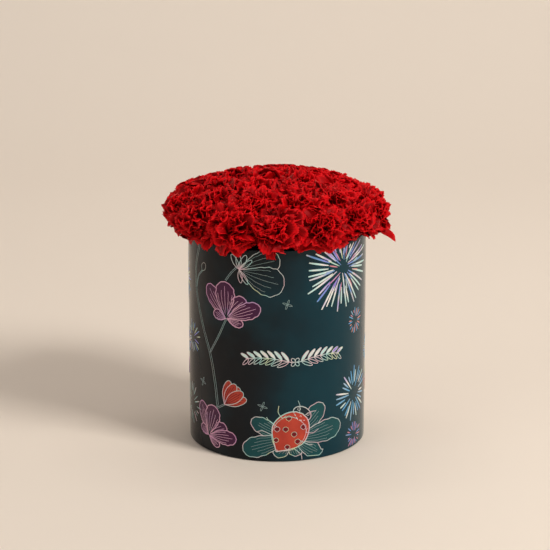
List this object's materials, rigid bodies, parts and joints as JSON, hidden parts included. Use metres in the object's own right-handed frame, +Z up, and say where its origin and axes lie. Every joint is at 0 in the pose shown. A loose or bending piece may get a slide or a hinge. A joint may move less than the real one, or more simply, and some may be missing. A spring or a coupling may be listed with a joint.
{
  "type": "carnations in a round box",
  "caption": "Round printed paper box packed with a low dome of cut red carnations standing in wet foam.",
  "frame": {"origin": "centre of the flat underside that the box stands on", "axes": "+Z up along the round box's axis, -Y towards the front of the printed design"},
  "size_m": [0.2085, 0.2075, 0.2491],
  "materials": {
    "greyboard": "raw grey paperboard",
    "printed_paper": "gloss laminated dark teal paper with foil line art",
    "base_paper": "matt dark paper",
    "lining_paper": "matt black paper",
    "clear_film": "thin waterproof film",
    "wet_foam": "soaked green flower foam",
    "stem_green": "waxy green stem and calyx",
    "red_petals": "soft velvety red petals"
  },
  "bodies": {
    "root": {"box_tube": "greyboard", "printed_wrap": "printed_paper", "base_board": "greyboard", "base_paper": "base_paper", "inner_lining": "lining_paper", "waterproof_film": "clear_film", "flower_foam": "wet_foam", "stem_01": "stem_green", "stem_02": "stem_green", "stem_03": "stem_green", "stem_04": "stem_green", "stem_05": "stem_green", "stem_06": "stem_green", "stem_07": "stem_green", "stem_08": "stem_green", "stem_09": "stem_green", "stem_10": "stem_green", "stem_11": "stem_green", "stem_12": "stem_green", "stem_13": "stem_green", "stem_14": "stem_green", "stem_15": "stem_green", "stem_16": "stem_green", "stem_17": "stem_green", "stem_18": "stem_green", "stem_19": "stem_green", "stem_20": "stem_green", "stem_21": "stem_green", "stem_22": "stem_green", "stem_23": "stem_green", "stem_24": "stem_green", "stem_25": "stem_green", "stem_26": "stem_green", "bloom_01": "red_petals", "bloom_02": "red_petals", "bloom_03": "red_petals", "bloom_04": "red_petals", "bloom_05": "red_petals", "bloom_06": "red_petals", "bloom_07": "red_petals", "bloom_08": "red_petals", "bloom_09": "red_petals", "bloom_10": "red_petals", "bloom_11": "red_petals", "bloom_12": "red_petals", "bloom_13": "red_petals", "bloom_14": "red_petals", "bloom_15": "red_petals", "bloom_16": "red_petals", "bloom_17": "red_petals", "bloom_18": "red_petals", "bloom_19": "red_petals", "bloom_20": "red_petals", "bloom_21": "red_petals", "bloom_22": "red_petals", "bloom_23": "red_petals", "bloom_24": "red_petals", "bloom_25": "red_petals", "bloom_26": "red_petals"}
  },
  "joints": []
}
